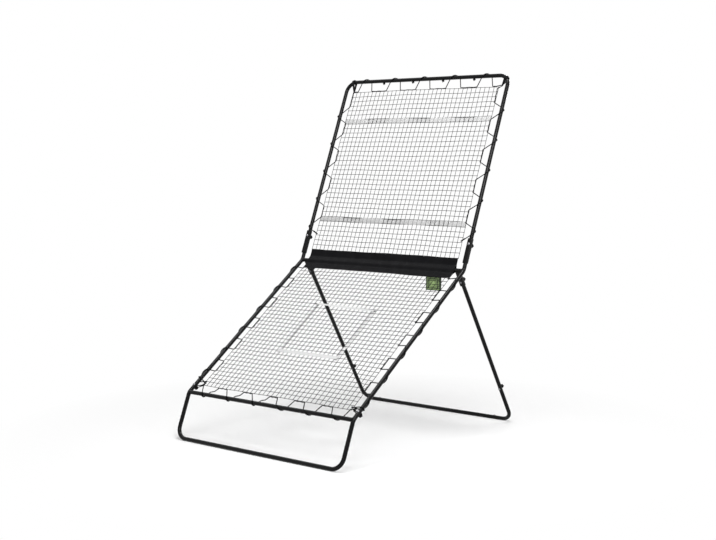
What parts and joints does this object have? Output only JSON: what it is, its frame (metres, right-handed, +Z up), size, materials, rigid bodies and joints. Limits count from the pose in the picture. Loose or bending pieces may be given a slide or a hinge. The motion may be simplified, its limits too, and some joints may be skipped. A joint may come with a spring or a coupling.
{
  "type": "padel rebounder",
  "caption": "Ball rebounder: laced nets on a black tube frame, with a sloping lower panel, a steep upper panel and a rear leg frame, joined by bolts with hand knobs.",
  "frame": {"origin": "on the floor, half way between the front and the rear floor tube and on the middle plane", "axes": "+Z up, +X to the right of a player who faces the nets, +Y away from the player: the front foot is at -Y and the rear leg frame at +Y"},
  "size_m": [1.0302, 1.3438, 1.7],
  "materials": {
    "powder_coat": "semi-gloss black powder coat on steel tube",
    "dark_zinc": "dark zinc plated steel",
    "black_plastic": "matt black moulded plastic",
    "net_cord": "dark grey knotted polyethylene twine",
    "elastic_cord": "black braided cover on an elastic core",
    "sleeve_cloth": "black coated cloth",
    "white_tape": "white woven tape",
    "tag_cloth": "green printed cloth with a dark border"
  },
  "bodies": {
    "frame": {"front_foot": "powder_coat", "knee_crossbar": "powder_coat", "side_tube_left": "powder_coat", "side_tube_right": "powder_coat", "fold_crossbar": "powder_coat", "fold_bracket_left": "powder_coat", "fold_bracket_right": "powder_coat", "leg_bracket_left": "powder_coat", "leg_bracket_right": "powder_coat", "upper_frame": "powder_coat", "rear_upright_left": "powder_coat", "rear_upright_right": "powder_coat", "rear_corner_left": "powder_coat", "rear_corner_right": "powder_coat", "rear_bar": "powder_coat", "upper_net": "net_cord", "lower_net": "net_cord", "upper_lacing": "elastic_cord", "lower_lacing": "elastic_cord", "fold_sleeve": "sleeve_cloth", "upper_tape_high": "white_tape", "upper_tape_low": "white_tape", "target_tape": "white_tape", "care_tag": "tag_cloth", "rear_bar_rivet_left": "dark_zinc", "rear_bar_rivet_right": "dark_zinc", "knee_bolt_left": "dark_zinc", "knee_bolt_right": "dark_zinc", "fold_bolt_left": "dark_zinc", "fold_bolt_right": "dark_zinc", "leg_bolt_left": "dark_zinc", "leg_bolt_right": "dark_zinc", "foot_bolt_left": "dark_zinc", "foot_bolt_right": "dark_zinc"},
    "knee_knob_left": {"knee_knob_left": "black_plastic"},
    "knee_knob_right": {"knee_knob_right": "black_plastic"},
    "fold_knob_left": {"fold_knob_left": "black_plastic"},
    "fold_knob_right": {"fold_knob_right": "black_plastic"},
    "leg_knob_left": {"leg_knob_left": "black_plastic"},
    "leg_knob_right": {"leg_knob_right": "black_plastic"},
    "foot_knob_left": {"foot_knob_left": "black_plastic"},
    "foot_knob_right": {"foot_knob_right": "black_plastic"}
  },
  "joints": [
    {"name": "knee_knob_left_turn", "type": "hinge", "parent": "frame", "child": "knee_knob_left", "pos_m": [-0.5, -0.54229, 0.22723], "axis": [0, 0.5878, -0.809], "continuous": true},
    {"name": "knee_knob_right_turn", "type": "hinge", "parent": "frame", "child": "knee_knob_right", "pos_m": [0.5, -0.54229, 0.22723], "axis": [0, 0.5878, -0.809], "continuous": true},
    {"name": "fold_knob_left_turn", "type": "hinge", "parent": "frame", "child": "fold_knob_left", "pos_m": [-0.5, 0.25689, 0.89284], "axis": [0, 0.9272, -0.3746], "continuous": true},
    {"name": "fold_knob_right_turn", "type": "hinge", "parent": "frame", "child": "fold_knob_right", "pos_m": [0.5, 0.25689, 0.89284], "axis": [0, 0.9272, -0.3746], "continuous": true},
    {"name": "leg_knob_left_turn", "type": "hinge", "parent": "frame", "child": "leg_knob_left", "pos_m": [-0.4685, 0.23957, 0.73246], "axis": [0, 0.8572, 0.515], "continuous": true},
    {"name": "leg_knob_right_turn", "type": "hinge", "parent": "frame", "child": "leg_knob_right", "pos_m": [0.4685, 0.23957, 0.73246], "axis": [0, 0.8572, 0.515], "continuous": true},
    {"name": "foot_knob_left_turn", "type": "hinge", "parent": "frame", "child": "foot_knob_left", "pos_m": [-0.4685, 0.56761, 0.18651], "axis": [0, 0.8572, 0.515], "continuous": true},
    {"name": "foot_knob_right_turn", "type": "hinge", "parent": "frame", "child": "foot_knob_right", "pos_m": [0.4685, 0.56761, 0.18651], "axis": [0, 0.8572, 0.515], "continuous": true}
  ]
}
